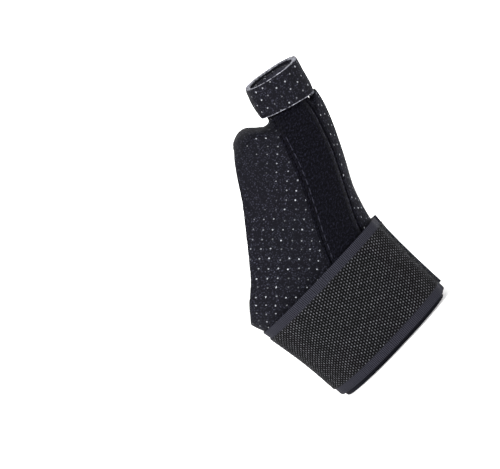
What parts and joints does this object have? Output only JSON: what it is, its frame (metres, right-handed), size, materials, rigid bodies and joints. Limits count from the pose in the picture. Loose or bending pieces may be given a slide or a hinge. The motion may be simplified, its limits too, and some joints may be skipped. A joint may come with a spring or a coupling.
{
  "type": "wrist splint",
  "caption": "Thumb spica wrist splint in its worn shape: perforated fabric sleeve, stay pockets, wide elastic wrist strap and thumb band.",
  "frame": {"origin": "centre of the wrist opening, on the plane of the cuff's forearm rim", "axes": "+Z along the forearm towards the fingers, +X towards the thumb side, +Y towards the back of the hand"},
  "size_m": [0.1109, 0.0637, 0.1439],
  "materials": {
    "laminate": "perforated knit laminate, near-black navy, matt",
    "lining": "soft brushed lining, dark grey",
    "loop": "brushed loop velour, near-black navy",
    "facing": "smooth stretch binding, near-black navy",
    "webbing": "ribbed elastic webbing, charcoal",
    "hook": "moulded nylon hook, black",
    "thread": "twisted polyester thread, dark",
    "stay": "satin flat bar",
    "tip": "dipped vinyl, black"
  },
  "bodies": {
    "sleeve": {"back_pocket_stitches": "thread", "back_stay": "stay", "back_stay_pocket": "loop", "back_stay_tips": "tip", "band_anchor_stitches": "thread", "band_sewn_end": "laminate", "cuff_binding": "facing", "lining": "lining", "outer_sleeve": "laminate", "palm_pocket_stitches": "thread", "palm_stay": "stay", "palm_stay_pocket": "loop", "palm_stay_tips": "tip", "strap_anchor_stitches": "thread", "strap_loop_patch": "loop", "strap_sewn_end": "webbing", "thumb_side_panel": "laminate", "web_facing": "facing"},
    "strap_palm": {"strap_palm": "webbing"},
    "strap_ulnar": {"strap_ulnar": "webbing"},
    "strap_tab": {"strap_tab": "webbing", "strap_hook_patch": "hook", "strap_end_tape": "facing", "strap_patch_stitches": "thread"},
    "band_tab": {"band_tab": "laminate", "band_hook_patch": "hook", "band_tab_stitches": "thread"}
  },
  "joints": [
    {"name": "strap_palm_unwrap", "type": "hinge", "parent": "sleeve", "child": "strap_palm", "pos_m": [0.024, -0.02534, 0], "axis": [0, 0, 1], "range_deg": [0, 33]},
    {"name": "strap_ulnar_unwrap", "type": "hinge", "parent": "strap_palm", "child": "strap_ulnar", "pos_m": [-0.022, -0.02749, 0], "axis": [0, 0, 1], "range_deg": [0, 88]},
    {"name": "strap_tab_peel", "type": "hinge", "parent": "strap_ulnar", "child": "strap_tab", "pos_m": [-0.025, 0.02944, 0], "axis": [0, 0, 1], "range_deg": [0, 110]},
    {"name": "band_tab_peel", "type": "hinge", "parent": "sleeve", "child": "band_tab", "pos_m": [0.03741, 0.00364, 0.13], "axis": [0.3055, -0.132, 0.943], "range_deg": [0, 110]}
  ],
  "couplings": [
    {"joint": "strap_ulnar_unwrap", "follows": "strap_tab_peel", "ratio": 0.8},
    {"joint": "strap_palm_unwrap", "follows": "strap_tab_peel", "ratio": 0.3}
  ]
}
